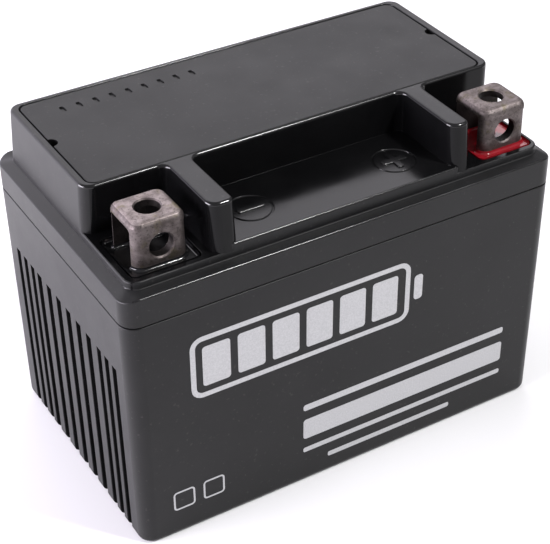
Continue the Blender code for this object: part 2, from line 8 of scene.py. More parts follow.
import bmesh
import bpy
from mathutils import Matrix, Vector


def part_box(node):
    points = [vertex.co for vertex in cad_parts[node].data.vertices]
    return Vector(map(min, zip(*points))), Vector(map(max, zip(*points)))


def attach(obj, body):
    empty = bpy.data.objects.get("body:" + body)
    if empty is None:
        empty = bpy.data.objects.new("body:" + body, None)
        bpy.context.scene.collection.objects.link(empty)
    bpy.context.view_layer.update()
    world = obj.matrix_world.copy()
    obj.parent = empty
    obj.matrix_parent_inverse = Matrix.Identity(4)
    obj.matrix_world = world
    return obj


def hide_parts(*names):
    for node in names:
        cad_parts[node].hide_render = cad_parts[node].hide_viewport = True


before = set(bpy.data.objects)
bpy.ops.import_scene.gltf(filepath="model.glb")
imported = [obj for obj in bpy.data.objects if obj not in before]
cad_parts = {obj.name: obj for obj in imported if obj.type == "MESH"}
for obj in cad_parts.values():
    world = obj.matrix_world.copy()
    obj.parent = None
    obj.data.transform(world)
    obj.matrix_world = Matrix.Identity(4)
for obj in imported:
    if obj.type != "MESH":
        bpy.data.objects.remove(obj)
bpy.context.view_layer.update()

MM = 0.001
POLES = ("negative", "positive")


def box_mm(node):
    low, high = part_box(node)
    return low / MM, high / MM


CASE_LOW, CASE_HIGH = box_mm("container")
COVER_LOW, COVER_HIGH = box_mm("cover")
STRIP_LOW, STRIP_HIGH = box_mm("cap_strip")
TERMINALS = {pole: box_mm("terminal_" + pole) for pole in POLES}
RESINS = {pole: box_mm("resin_seal_" + pole) for pole in POLES}
VALVES = [box_mm(f"safety_valve_{i + 1}") for i in range(6)]
CELLS = [(low.x + high.x) / 2 for low, high in VALVES]
WELL_Y = (VALVES[0][0].y + VALVES[0][1].y) / 2
GAP = COVER_LOW.z - CASE_HIGH.z
PAST = 1.0  # how far a cutter reaches past the face it opens
NEAR = 0.1  # how close to a wall a face's centre may lie and still belong to it
SLACK = 0.01  # for the rounding of coordinates
CORNER_STEPS = 10
ROUND_STEPS = 5

# Case
CASE_RADIUS = 4.0
BASE_RADIUS = 1.5
BASE_DRAFT = 0.5
SEAM_RADIUS = 0.22
WALL = 2.5
PARTITION = 1.5
GROOVE_TOP = 48.7
GROOVE_DEPTH = 1.6
GROOVE_FLARE = 0.12
GROOVE_LIP = 0.18
FRONT_GROOVES = [-26.6, -22.7, -18.8]
MIDDLE_GROOVES = [-13.3 + 5.45 * i for i in range(6)]
BACK_GROOVES = [18.05, 22.2, 26.35]
OUTER_HALF_WIDTH = 1.05
MIDDLE_HALF_WIDTH = 1.25

# Cover
LEDGE_EDGE = 70.75
LEDGE_RADIUS = 0.4
LEDGE_TOP = 71.15
END_DROP = 0.75
FOOT_RADIUS = 0.4
DECK_HALF_LENGTH = CASE_HIGH.x - 2.6
DECK_BACK = CASE_HIGH.y - 3.4
DECK_FRONT = -11.0
DECK_RADIUS = 3.0
DECK_TOP = COVER_HIGH.z
DECK_EDGE = 0.7
FINGER_FRONT = -32.3
FINGER_LEFT = (-33.5, -27.55)
FINGER_RIGHT = (28.4, 33.4)
FINGER_RADIUS = 1.5
FINGER_LEFT_RADIUS = 2.7
DECK_LEAN = 0.65
DECK_RIGHT_SHIFT = 0.55
FINGER_LEAN = 1.3
INSIDE_RADIUS = 2.2
PODIUM_STEP = 0.04
DECK_ROOT = 0.4
DECK_FOOT = 1.0
FLOOR_OVERLAP = 2.0
FLOOR_RADIUS = 1.0
CURB_TOP = 73.0
CURB_EDGE = 0.4
CUP_RADIUS = 1.6
RECESS_FLOOR = 74.7
RECESS_EDGE = 0.35
RECESS_FOOT_RADIUS = 0.3
COVER_ROOF = 67.9
CHAMBER_ROOF = 74.0
CHAMBER_FRONT = -8.4
CHAMBER_BACK = 29.0
MARKS = ((-19.0, -22.2), (19.0, -22.2))
MARK_RADIUS = 5.0
MARK_PROFILE = ((-0.36, 0.1), (-0.16, -0.25), (0.16, -0.25), (0.36, 0.1))
SIGN_LENGTH = 6.6
SIGN_WIDTH = 1.7
SIGN_HEIGHT = 0.35
SIGN_ROOT = 0.5
SIGN_RADIUS = 0.4
SIGN_EDGE = 0.22

# Pocket of the cap strip
SHELF = STRIP_HIGH.z - 2.3
SHELF_WIDTH = 1.6
POCKET_FLOOR = 76.0
POCKET_EDGE = 0.25
WELL_RADIUS = 5.2
WELL_WALL = 1.4
WELL_BOTTOM = 66.0
STRIP_RADIUS = 2.5
STRIP_EDGE = 0.25
NOTCH_Y = 10.3
NOTCH_RADIUS = 1.65
STAMPS = [(-42.6 + 4.2 * i, 22.9) for i in range(9)]
STAMP_HALF_SIZE = (0.6, 1.25)
STAMP_RADIUS = 0.4
STAMP_FLARE = 0.15
STAMP_DEPTH = 0.4
SLEEVE_BORE = 3.7
SLEEVE_ROOF = 80.0
SLEEVE_CHAMFER = 0.5
SLEEVE_CHAMFER_HEIGHT = 1.2

# Terminals and resin
BLOCK_RADIUS = 2.5
BLOCK_BACK_RADIUS = {"negative": 1.8, "positive": 2.2}
BLOCK_EDGE = {"negative": 1.7, "positive": 1.8}
BLOCK_FOOT_HEIGHT = 3.0
BLOCK_FOOT_TAPER = 0.06
CAP_LINE = 81.3
CAP_STEP = 0.14
WINDOW_WALL = 2.5
WINDOW_BACK_WALL = 1.5
BASE_PLATE_TOP = 72.2
WINDOW_TOP = 81.9
WINDOW_RADIUS = 0.5
BOLT_RADIUS = 2.85
TOP_CHAMFER = 0.3
FRONT_CHAMFER = 0.4
BOLT_Z = 77.3
WETTED = 0.7
RESIN_DROP = 0.15
FRONT_FOOT_RADII = (2.2, 2.2, 0.2, 0.2)
BACK_FOOT_RADII = (0.2, 0.2, 1.2, 1.2)
RESIN_SLOTS = {"negative": "black_resin", "positive": "red_resin"}

# Print: left, right, low, high and corner radius of each shape
PRINT_PROUD = 0.03
GAUGE_FRAME = (-42.0, 16.0, 38.5, 55.5, 3.0)
GAUGE_LINE = 1.3
GAUGE_TIP = (17.2, 19.6, 43.5, 50.5, 0.9)
GAUGE_BARS = [(-39.0 + 8.9 * i, -39.0 + 8.9 * i + 7.0, 41.5, 52.5, 0.8) for i in range(6)]
RULES = [
    (-13.0, 45.5, 22.4, 24.2, 0.6),
    (-13.0, 45.5, 13.6, 19.6, 0.8),
    (-13.0, 45.5, 9.4, 10.8, 0.5),
    (-6.0, 30.0, 5.0, 6.4, 0.5),
]
SQUARES = [(-48.0, -42.4, 7.6, 13.2, 1.0), (-40.2, -34.6, 7.6, 13.2, 1.0)]
SQUARE_LINE = 0.45


# ---------------------------------------------------------------- shapes


def heading(start, end):
    return Vector((end[0] - start[0], end[1] - start[1])).normalized()


def left_of(direction):
    return Vector((-direction.y, direction.x))


def outline(corners, inset, z, steps=CORNER_STEPS):
    """A ring of points round right-angled corners (x, y, radius), listed anticlockwise."""
    ring = []
    for i, corner in enumerate(corners):
        into = heading(corners[i - 1], corner)
        out = heading(corner, corners[(i + 1) % len(corners)])
        turn = math.copysign(1, into.cross(out))
        first, last = left_of(into), left_of(out)
        centre = Vector(corner[:2]) + turn * corner[2] * (first + last)
        reach = corner[2] - turn * inset
        for step in range(steps + 1):
            angle = math.pi / 2 * step / steps
            point = centre - turn * reach * (math.cos(angle) * first + math.sin(angle) * last)
            ring.append((point.x, point.y, z))
    return ring


def rectangle(left, right, front, back, radius):
    corners = ((left, front), (right, front), (right, back), (left, back))
    return [(x, y, radius) for x, y in corners]


def convex(top, radius, inset=0.0, steps=ROUND_STEPS):
    """Heights and insets up a rounded upper edge."""
    angles = [math.pi / 2 * i / steps for i in range(steps + 1)]
    return [(top - radius * (1 - math.sin(t)), inset + radius * (1 - math.cos(t))) for t in angles]


def concave(bottom, radius, steps=ROUND_STEPS):
    """Heights and insets up the hollow rounding at the foot of a wall."""
    angles = [math.pi / 2 * i / steps for i in range(steps + 1)]
    return [(bottom + radius * (1 - math.cos(t)), -radius * (1 - math.sin(t))) for t in angles]


def lofted(rings):
    bm = bmesh.new()
    made = [[bm.verts.new(point) for point in ring] for ring in rings]
    for lower, upper in zip(made, made[1:]):
        for i in range(len(lower)):
            j = (i + 1) % len(lower)
            bm.faces.new((lower[i], lower[j], upper[j], upper[i]))
    bm.faces.new(reversed(made[0]))
    bm.faces.new(made[-1])
    return bm


def prism(corners, levels, steps=CORNER_STEPS):
    return lofted([outline(corners, inset, z, steps) for z, inset in levels])


def box(low, high):
    base = ((low[0], low[1]), (high[0], low[1]), (high[0], high[1]), (low[0], high[1]))
    return lofted([[(x, y, z) for x, y in base] for z in (low[2], high[2])])


def circle(centre, radius, along, axis="z", steps=40):
    ring = []
    for i in range(steps):
        a = radius * math.cos(2 * math.pi * i / steps)
        b = radius * math.sin(2 * math.pi * i / steps)
        if axis == "z":
            ring.append((centre[0] + a, centre[1] + b, along))
        elif axis == "y":
            ring.append((centre[0] + a, along, centre[1] + b))
        else:
            ring.append((along, centre[0] + a, centre[1] + b))
    return ring


def rod(centre, levels, axis="z", steps=40):
    """A turned solid through (place along the axis, radius)."""
    return lofted([circle(centre, radius, along, axis, steps) for along, radius in levels])


def on_each_cell(levels):
    """The same turned solid upright over every cell."""
    return joined([rod((x, WELL_Y), levels) for x in CELLS])


def joined(shapes):
    """Separate shapes in one mesh."""
    whole = bmesh.new()
    for shape in shapes:
        mesh = bpy.data.meshes.new("part")
        shape.to_mesh(mesh)
        whole.from_mesh(mesh)
        shape.free()
        bpy.data.meshes.remove(mesh)
    return whole


def to_object(bm, name):
    bmesh.ops.recalc_face_normals(bm, faces=bm.faces)
    mesh = bpy.data.meshes.new(name)
    bm.to_mesh(mesh)
    bm.free()
    obj = bpy.data.objects.new(name, mesh)
    bpy.context.scene.collection.objects.link(obj)
    return obj


def combined(base, tools):
    """The base mesh after a list of (operation, shape), each an exact boolean."""
    obj = to_object(base, "base")
    helpers = []
    for operation, shape in tools:
        helper = to_object(shape, "tool")
        modifier = obj.modifiers.new("tool", "BOOLEAN")
        modifier.operation = operation
        modifier.solver = "EXACT"
        modifier.object = helper
        helpers.append(helper)
    bpy.context.view_layer.update()
    graph = bpy.context.evaluated_depsgraph_get()
    mesh = bpy.data.meshes.new_from_object(obj.evaluated_get(graph))
    bm = bmesh.new()
    bm.from_mesh(mesh)
    for used in [obj] + helpers:
        old = used.data
        bpy.data.objects.remove(used)
        bpy.data.meshes.remove(old)
    bpy.data.meshes.remove(mesh)
    bmesh.ops.remove_doubles(bm, verts=bm.verts, dist=1e-4)
    return bm


def fold(edge):
    """The angle between the two faces of an edge, positive where it stands out."""
    return edge.calc_face_angle_signed(0.0) if edge.is_manifold else 0.0


def soften(bm, width, chosen, segments=2):
    """Rounds the sharp edges that the test picks."""
    edges = [e for e in bm.edges if abs(fold(e)) > math.radians(40) and chosen(e)]
    bmesh.ops.bevel(
        bm,
        geom=edges,
        offset=width,
        segments=segments,
        profile=0.5,
        affect="EDGES",
        clamp_overlap=True,
    )


def give_faces_material(bm, inside, index=1):
    """Gives another of the piece's materials to the faces that the test picks, painted shade among
    them.
    """
    for face in bm.faces:
        if inside(face.calc_center_median(), face.normal):
            face.material_index = index


def piece(name, bm, body, materials, replaces=(), smooth=40):
    """A shown piece: the mesh in metres, smooth but for its sharp edges, riding on its CAD body."""
    bmesh.ops.scale(bm, vec=(MM, MM, MM), verts=bm.verts)
    obj = to_object(bm, name)
    for material in materials:
        obj.data.materials.append(material)
    obj.data.shade_smooth()
    obj.data.set_sharp_from_angle(angle=math.radians(smooth))
    weighted = obj.modifiers.new("weighted_normals", "WEIGHTED_NORMAL")
    weighted.keep_sharp = True
    weighted.weight = 80
    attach(obj, body)
    if replaces:
        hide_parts(*replaces)
    return obj


# ---------------------------------------------------------------- container


def case_rings(levels):
    corners = rectangle(CASE_LOW.x, CASE_HIGH.x, CASE_LOW.y, CASE_HIGH.y, CASE_RADIUS)
    return [outline(corners, inset, z) for z, inset in levels]


def groove(end, y, wide):
    """A slot with softened lips: its head runs out at a slope and its foot is open at the base."""
    face = end * CASE_HIGH.x
    narrow = wide - GROOVE_FLARE * GROOVE_DEPTH
    rings = []
    for back, root_z, mouth_z in (
        (BASE_DRAFT, -PAST, -PAST),
        (0.0, GROOVE_TOP - GROOVE_DEPTH, GROOVE_TOP + GROOVE_LIP),
    ):
        slope = (mouth_z - root_z) / (GROOVE_DEPTH + GROOVE_LIP)
        section = (
            (GROOVE_DEPTH, narrow - GROOVE_LIP),
            (GROOVE_DEPTH - GROOVE_LIP, narrow),
            (GROOVE_LIP, wide),
            (0.0, wide + GROOVE_LIP),
            (-PAST, wide + GROOVE_LIP + PAST),
        )
        half = []
        for depth, side in section:
            z = root_z + slope * (GROOVE_DEPTH - depth)
            half.append((face - end * (back + depth), side, z))
        ring = [(x, y - side, z) for x, side, z in half]
        rings.append(ring + [(x, y + side, z) for x, side, z in reversed(half)])
    return lofted(rings)


def cell_boxes(low, high, front, back, reach):
    shapes = []
    length = CELLS[1] - CELLS[0] - PARTITION
    for x in CELLS:
        left, right = max(x - length / 2, -reach), min(x + length / 2, reach)
        shapes.append(box((left, front, low), (right, back, high)))
    return joined(shapes)


def make_container(material, shaded):
    foot = convex(CASE_HIGH.z, BASE_RADIUS)
    levels = [(CASE_HIGH.z - z, BASE_DRAFT + inset) for z, inset in reversed(foot)]
    levels += convex(CASE_HIGH.z, SEAM_RADIUS, steps=3)
    shell = lofted(case_rings(levels))
    half_width = CASE_HIGH.y - WALL
    cells = cell_boxes(WALL, CASE_HIGH.z + PAST, -half_width, half_width, CASE_HIGH.x - WALL)
    places = [(y, MIDDLE_HALF_WIDTH) for y in MIDDLE_GROOVES]
    places += [(y, OUTER_HALF_WIDTH) for y in FRONT_GROOVES + BACK_GROOVES]
    grooves = joined([groove(end, y, wide) for end in (-1, 1) for y, wide in places])
    bm = combined(shell, [("DIFFERENCE", cells), ("DIFFERENCE", grooves)])
    bm.normal_update()
    # The grooves get a near-black plastic: painted shade
    give_faces_material(bm, in_a_groove)
    materials = [material, shaded]
    return piece("container_shell", bm, "battery", materials, ["container"])


def in_a_groove(centre, normal):
    """True on the roots and flanks of the end grooves, whose near-black plastic is painted shade.
    """
    share = (CASE_HIGH.z - centre.z) / (CASE_HIGH.z - BASE_RADIUS)
    depth = CASE_HIGH.x - BASE_DRAFT * share - abs(centre.x)
    beyond_corners = abs(centre.y) > CASE_HIGH.y - CASE_RADIUS
    in_depth = 2 * NEAR < depth < GROOVE_DEPTH + NEAR
    return in_depth and not beyond_corners and 0 < centre.z < GROOVE_TOP


# ---------------------------------------------------------------- cover


def deck_corners():
    return [
        (-DECK_HALF_LENGTH, DECK_FRONT, DECK_RADIUS),
        (FINGER_LEFT[0], DECK_FRONT, INSIDE_RADIUS),
        (FINGER_LEFT[0], FINGER_FRONT, FINGER_LEFT_RADIUS),
        (FINGER_LEFT[1], FINGER_FRONT, FINGER_RADIUS),
        (FINGER_LEFT[1], DECK_FRONT, INSIDE_RADIUS),
        (FINGER_RIGHT[0], DECK_FRONT, INSIDE_RADIUS),
        (FINGER_RIGHT[0], FINGER_FRONT, FINGER_LEFT_RADIUS),
        (FINGER_RIGHT[1], FINGER_FRONT, FINGER_RADIUS),
        (FINGER_RIGHT[1], DECK_FRONT, INSIDE_RADIUS),
        (DECK_HALF_LENGTH, DECK_FRONT, DECK_RADIUS),
        (DECK_HALF_LENGTH, DECK_BACK, DECK_RADIUS),
        (-DECK_HALF_LENGTH, DECK_BACK, DECK_RADIUS),
    ]


def cup_corners(pole):
    """The inside of the curb, which is what the resin fills but for its gap."""
    low, high = RESINS[pole]
    return rectangle(low.x - GAP, high.x + GAP, low.y - GAP, high.y + GAP, CUP_RADIUS)


def strip_corners():
    left, right = STRIP_LOW.x - GAP, STRIP_HIGH.x + GAP
    return rectangle(left, right, STRIP_LOW.y - GAP, STRIP_HIGH.y + GAP, STRIP_RADIUS)


def cover_body():
    side = DECK_HALF_LENGTH - PODIUM_STEP
    front, back = FINGER_FRONT + PODIUM_STEP, DECK_BACK - PODIUM_STEP
    podium = rectangle(-side, side, front, back, DECK_RADIUS)
    seam = [(2 * COVER_LOW.z - z, inset) for z, inset in convex(COVER_LOW.z, SEAM_RADIUS, steps=3)]
    rings = case_rings(list(reversed(seam)))
    for ring in case_rings(convex(LEDGE_EDGE, LEDGE_RADIUS)):
        rings.append([(x, y, z - end_drop(x)) for x, y, z in ring])
    for z, inset in concave(LEDGE_TOP, FOOT_RADIUS):
        rings.append([(max(-side, min(side, x)), y, z) for x, y, z in outline(podium, inset, z)])
    rings += [outline(podium, inset, z) for z, inset in convex(CURB_TOP, CURB_EDGE)]
    return lofted(rings)


def end_drop(x):
    """How far the ledge's rim dips here: it does so round the corners, so both ends slope down."""
    share = max(0.0, (abs(x) - CASE_HIGH.x + CASE_RADIUS) / CASE_RADIUS)
    return END_DROP * share * share * (3 - 2 * share)


def floor_block():
    front = FINGER_FRONT + PODIUM_STEP / 2
    left, right = FINGER_LEFT[1] - FLOOR_OVERLAP, FINGER_RIGHT[0] + FLOOR_OVERLAP
    middle = rectangle(left, right, front, DECK_FRONT + FLOOR_OVERLAP, FLOOR_RADIUS)
    start = LEDGE_TOP + FOOT_RADIUS + NEAR
    return prism(middle, [(start, 0.0)] + convex(RECESS_FLOOR, RECESS_EDGE))


def sign_bar(centre, along_x):
    """One raised bar of a polarity sign on the recess's floor."""
    half = (SIGN_LENGTH / 2, SIGN_WIDTH / 2) if along_x else (SIGN_WIDTH / 2, SIGN_LENGTH / 2)
    x, y = centre
    bar = rectangle(x - half[0], x + half[0], y - half[1], y + half[1], SIGN_RADIUS)
    top = convex(RECESS_FLOOR + SIGN_HEIGHT, SIGN_EDGE, 0.0, 3)
    return prism(bar, [(RECESS_FLOOR - SIGN_ROOT, 0.0)] + top, 4)


def mark_ring(centre):
    """The shallow ring that an ejector sleeve leaves."""
    bm = bmesh.new()
    steps = 48
    rings = []
    for i in range(steps):
        angle = 2 * math.pi * i / steps
        ring = []
        for across, height in MARK_PROFILE:
            radius = MARK_RADIUS + across
            x, y = centre[0] + radius * math.cos(angle), centre[1] + radius * math.sin(angle)
            ring.append(bm.verts.new((x, y, RECESS_FLOOR + height)))
        rings.append(ring)
    for i, ring in enumerate(rings):
        beside = rings[(i + 1) % steps]
        for k in range(len(ring)):
            m = (k + 1) % len(ring)
            bm.faces.new((ring[k], beside[k], beside[m], ring[m]))
    return bm


def opened(top, radius):
    """Heights and insets of a cutter that leaves a rounded rim."""
    steps = [(z, -inset) for z, inset in convex(top, radius, steps=3)]
    return steps + [(top + PAST, -radius)]


def lean_in(bm):
    """Leans the deck's left and back walls and its fingers' fronts, and lengthens its right end."""
    for vert in bm.verts:
        share = max(0.0, (vert.co.z - LEDGE_TOP) / (DECK_TOP - LEDGE_TOP))
        if vert.co.x < 2 * FINGER_LEFT[0] - FINGER_LEFT[1]:
            vert.co.x += DECK_LEAN * share
        if vert.co.x > 2 * FINGER_RIGHT[1] - FINGER_RIGHT[0]:
            vert.co.x += DECK_RIGHT_SHIFT
        if vert.co.y > 0:
            vert.co.y *= 1 - DECK_LEAN * share / DECK_BACK
        if vert.co.y < FINGER_FRONT + FINGER_LEFT_RADIUS + SLACK:
            vert.co.y += FINGER_LEAN * share
    return bm


def make_cover(material, glossy_shaded, burnished, matt):
    walls = [(LEDGE_TOP - DECK_ROOT, 0.0), (LEDGE_TOP + DECK_FOOT, 0.0)]
    deck = prism(deck_corners(), walls + convex(DECK_TOP, DECK_EDGE))
    half_width = CASE_HIGH.y - WALL
    low, high, reach = COVER_LOW.z - PAST, COVER_ROOF, CASE_HIGH.x - WALL
    cells = cell_boxes(low, high, -half_width, half_width, reach)
    low, high, reach = COVER_ROOF - PAST, CHAMBER_ROOF, DECK_HALF_LENGTH - WALL
    chambers = cell_boxes(low, high, CHAMBER_FRONT, CHAMBER_BACK, reach)
    outside = WELL_RADIUS + WELL_WALL
    wells = on_each_cell(((WELL_BOTTOM, outside), (CHAMBER_ROOF + PAST, outside)))
    corners = strip_corners()
    shelf = prism(corners, [(SHELF, 0.0)] + opened(DECK_TOP, POCKET_EDGE))
    pocket = prism(corners, [(POCKET_FLOOR, SHELF_WIDTH), (SHELF + PAST, SHELF_WIDTH)])
    bores = on_each_cell(((WELL_BOTTOM - PAST, WELL_RADIUS), (SHELF + PAST, WELL_RADIUS)))
    tools = [
        ("UNION", lean_in(deck)),
        ("UNION", floor_block()),
        ("DIFFERENCE", cells),
        ("DIFFERENCE", chambers),
        ("UNION", wells),
        ("DIFFERENCE", shelf),
        ("DIFFERENCE", pocket),
        ("DIFFERENCE", bores),
    ]
    for pole in POLES:
        bottom = RESINS[pole][0].z - GAP
        cup = prism(cup_corners(pole), [(bottom, 0.0)] + opened(CURB_TOP, CURB_EDGE / 2))
        tools.append(("DIFFERENCE", cup))
    tools += [("DIFFERENCE", mark_ring(centre)) for centre in MARKS]
    tools += [("UNION", sign_bar(centre, True)) for centre in MARKS]
    tools.append(("UNION", sign_bar(MARKS[1], False)))
    bm = combined(cover_body(), tools)
    soften(bm, RECESS_FOOT_RADIUS, recess_foot)
    bm.normal_update()
    # The hollows get a glossy plastic that is darkened with painted shade
    give_faces_material(bm, in_a_hollow)
    give_faces_material(bm, on_a_front_edge, 2)
    give_faces_material(bm, at_the_front_foot, 3)
    materials = [material, glossy_shaded, burnished, matt]
    return piece("cover_shell", bm, "battery", materials, ["cover"])


def on_a_front_edge(centre, normal):
    """True on the roundings that face the front and up, which handling has rubbed smooth."""
    on_the_curb = LEDGE_EDGE < centre.z < RECESS_FLOOR - RECESS_EDGE
    high_enough = centre.z > LEDGE_EDGE - LEDGE_RADIUS
    faces_it = -0.97 < normal.y < -0.2 and 0.15 < normal.z < 0.985
    return high_enough and not on_the_curb and faces_it


def at_the_front_foot(centre, normal):
    """True on the hollow rounding where the curb's front meets the ledge: nothing rubs it."""
    on_the_foot = LEDGE_TOP < centre.z < LEDGE_TOP + FOOT_RADIUS
    return on_the_foot and centre.y < FINGER_FRONT + NEAR and 0.1 < normal.z < 0.999


def in_a_hollow(centre, normal):
    """True on the recess, terminal pockets and finger fronts: the mould's core polishes them
    glossy, and their darker plastic is painted shade.
    """
    if abs(centre.x) > DECK_HALF_LENGTH - 1 or not LEDGE_TOP < centre.z < DECK_TOP - NEAR:
        return False
    if centre.y < FINGER_FRONT + 0.6:
        return centre.z > RECESS_FLOOR
    return centre.y < DECK_FRONT + 0.3


def recess_foot(edge):
    """True on the line where the recess's floor meets its walls."""
    if any(abs(vert.co.z - RECESS_FLOOR) > SLACK for vert in edge.verts):
        return False
    return all(vert.co.y > FINGER_FRONT + FINGER_RADIUS - 0.3 for vert in edge.verts)


# ---------------------------------------------------------------- cap strip


def make_cap_strip(material):
    """The strip: plate, sleeves into the valve wells, end notches and plain stamped bars."""
    levels = [(SHELF + GAP, GAP)] + convex(STRIP_HIGH.z, STRIP_EDGE, GAP, 4)
    plate = prism(strip_corners(), levels)
    low = STRIP_LOW.z
    radius = WELL_RADIUS - GAP
    mouth = (low, radius - SLEEVE_CHAMFER)
    sleeves = on_each_cell((mouth, (low + SLEEVE_CHAMFER_HEIGHT, radius), (SHELF + PAST, radius)))
    bores = on_each_cell(((low - PAST, SLEEVE_BORE), (SLEEVE_ROOF, SLEEVE_BORE)))
    notches = []
    for x in (STRIP_LOW.x, STRIP_HIGH.x):
        levels = ((SHELF, NOTCH_RADIUS), (DECK_TOP + PAST, NOTCH_RADIUS))
        notches.append(rod((x, NOTCH_Y), levels, steps=24))
    top = STRIP_HIGH.z
    levels = [(top - STAMP_DEPTH, STAMP_FLARE), (top, 0.0), (top + PAST, 0.0)]
    wide, deep = STAMP_HALF_SIZE
    stamps = []
    for x, y in STAMPS:
        bar = rectangle(x - wide, x + wide, y - deep, y + deep, STAMP_RADIUS)
        stamps.append(prism(bar, levels, 3))
    tools = [
        ("UNION", sleeves),
        ("DIFFERENCE", bores),
        ("DIFFERENCE", joined(notches)),
        ("DIFFERENCE", joined(stamps)),
    ]
    bm = combined(plate, tools)
    return piece("cap_strip_plate", bm, "cap_strip", [material], ["cap_strip"])


# ---------------------------------------------------------------- terminals


def make_terminal(pole, top_lead, wall_lead, inner_lead):
    """A cast block: flared foot, parting step, rounded top, a nut window and two bolt holes."""
    low, high = TERMINALS[pole]
    back_radius = BLOCK_BACK_RADIUS[pole]
    corners = rectangle(low.x, high.x, low.y, high.y, BLOCK_RADIUS)
    corners[3] = (low.x, high.y, back_radius)
    levels = [(low.z, 0.0), (low.z + BLOCK_FOOT_HEIGHT, BLOCK_FOOT_TAPER)]
    levels += [(CAP_LINE, CAP_STEP), (CAP_LINE + CAP_STEP, 0.0)]
    levels += convex(high.z, BLOCK_EDGE[pole], 0.0, 7)
    block = prism(corners, levels, 8)
    x, y = (low.x + high.x) / 2, (low.y + high.y) / 2
    front, back = low.y + WINDOW_WALL, high.y - WINDOW_BACK_WALL
    window_ring = rectangle(front, back, BASE_PLATE_TOP, WINDOW_TOP, WINDOW_RADIUS)
    rings = []
    for along in (low.x - PAST, high.x + PAST):
        rings.append([(along, a, b) for a, b, _ in outline(window_ring, 0.0, 0.0, 4)])
    straight = ((WINDOW_TOP - PAST, BOLT_RADIUS), (high.z - TOP_CHAMFER, BOLT_RADIUS))
    mouth = (high.z + TOP_CHAMFER, BOLT_RADIUS + 2 * TOP_CHAMFER)
    top_hole = rod((x, y), (*straight, mouth))
    straight = ((low.y + FRONT_CHAMFER, BOLT_RADIUS), (front + PAST, BOLT_RADIUS))
    mouth = (low.y - 0.5, BOLT_RADIUS + 0.9)
    front_hole = rod((x, BOLT_Z), (mouth, *straight), "y")
    cutters = (lofted(rings), top_hole, front_hole)
    bm = combined(block, [("DIFFERENCE", cutter) for cutter in cutters])

    def inside(centre, normal):
        between = front - NEAR < centre.y < back + NEAR
        if between and centre.z < WINDOW_TOP + NEAR and abs(normal.x) < 0.9:
            return True
        reach = BOLT_RADIUS + 2 * NEAR
        deep = centre.z < high.z - TOP_CHAMFER - NEAR
        if deep and math.hypot(centre.x - x, centre.y - y) < reach:
            return True
        in_front = low.y + FRONT_CHAMFER < centre.y < y
        return in_front and math.hypot(centre.x - x, centre.z - BOLT_Z) < reach

    # Painted light: the walls take a darker copy of the lead as if in shade, and the window and
    # bolt holes a darker one still, painted shade
    give_faces_material(bm, lambda centre, normal: normal.z < 0.8)
    give_faces_material(bm, inside, 2)
    leads, replaced = [top_lead, wall_lead, inner_lead], ["terminal_" + pole]
    return piece("terminal_block_" + pole, bm, "battery", leads, replaced)


def meniscus(top, inset=0.0):
    """Heights and insets of resin that climbs the wall round it and then lies flat."""
    return [(z, inset - reach) for z, reach in reversed(concave(top, WETTED, 4))]


def make_resin(pole, material):
    """Poured resin: a flat pool that climbs a little up the curb and up both walls of the block."""
    bottom, top = RESINS[pole][0].z, RESINS[pole][1].z - RESIN_DROP
    rim = [(z, GAP + inset) for z, inset in meniscus(top)]
    pool = prism(cup_corners(pole), [(bottom, GAP)] + rim)
    low, high = TERMINALS[pole]
    wall_ends = (
        (low.y, low.y + WINDOW_WALL, FRONT_FOOT_RADII),
        (high.y - WINDOW_BACK_WALL, high.y, BACK_FOOT_RADII),
    )
    levels = [(top - 0.6, -WETTED)]
    levels += [(z - 0.03, inset) for z, inset in concave(top, WETTED, 4)]
    levels.append((top + WETTED, 0.1))
    climbs = []
    for near, far, radii in wall_ends:
        corners = rectangle(low.x, high.x, near, far, 0.0)
        foot = [(x, y, radius) for (x, y, _), radius in zip(corners, radii)]
        climbs.append(prism(foot, levels, 6))
    limits = prism(cup_corners(pole), [(bottom - PAST, GAP), (top + PAST, GAP)])
    climbs = combined(joined(climbs), [("INTERSECT", limits)])
    bm = combined(pool, [("UNION", climbs)])
    slot, replaced = RESIN_SLOTS[pole], ["resin_seal_" + pole]
    return piece("resin_pour_" + pole, bm, "battery", [material], replaced)


# ---------------------------------------------------------------- print


def front_face_y(z):
    """Y of the front wall, which leans in towards the base."""
    share = (CASE_HIGH.z - z) / (CASE_HIGH.z - BASE_RADIUS)
    return CASE_LOW.y + BASE_DRAFT * share


def make_print(material):
    """Plain ink: a gauge of six bars in a frame, ruled lines below it and two outlined squares."""
    shapes = [outlined(GAUGE_FRAME, GAUGE_LINE)]
    shapes += [filled(bar) for bar in [GAUGE_TIP] + GAUGE_BARS + RULES]
    shapes += [outlined(square, SQUARE_LINE) for square in SQUARES]
    return piece("front_print", joined(shapes), "battery", [material])


def ink_loops(shape, inset):
    """The shape's outline just inside the wall, which leans, and again just in front of it."""
    ring = outline(rectangle(*shape), inset, 0.0, 5)
    loops = []
    for proud in (PRINT_PROUD, -PRINT_PROUD):
        loops.append([(x, front_face_y(z) + proud, z) for x, z, _ in ring])
    return loops


def filled(shape):
    return lofted(ink_loops(shape, 0.0))


def outlined(shape, line):
    bm = bmesh.new()
    loops = []
    for inset in (0.0, line):
        loops += [[bm.verts.new(point) for point in loop] for loop in ink_loops(shape, inset)]
    count = len(loops[0])
    for a, b in ((0, 1), (1, 3), (3, 2), (2, 0)):
        for i in range(count):
            j = (i + 1) % count
            bm.faces.new((loops[a][i], loops[a][j], loops[b][j], loops[b][i]))
    return bm


# ---------------------------------------------------------------- materials


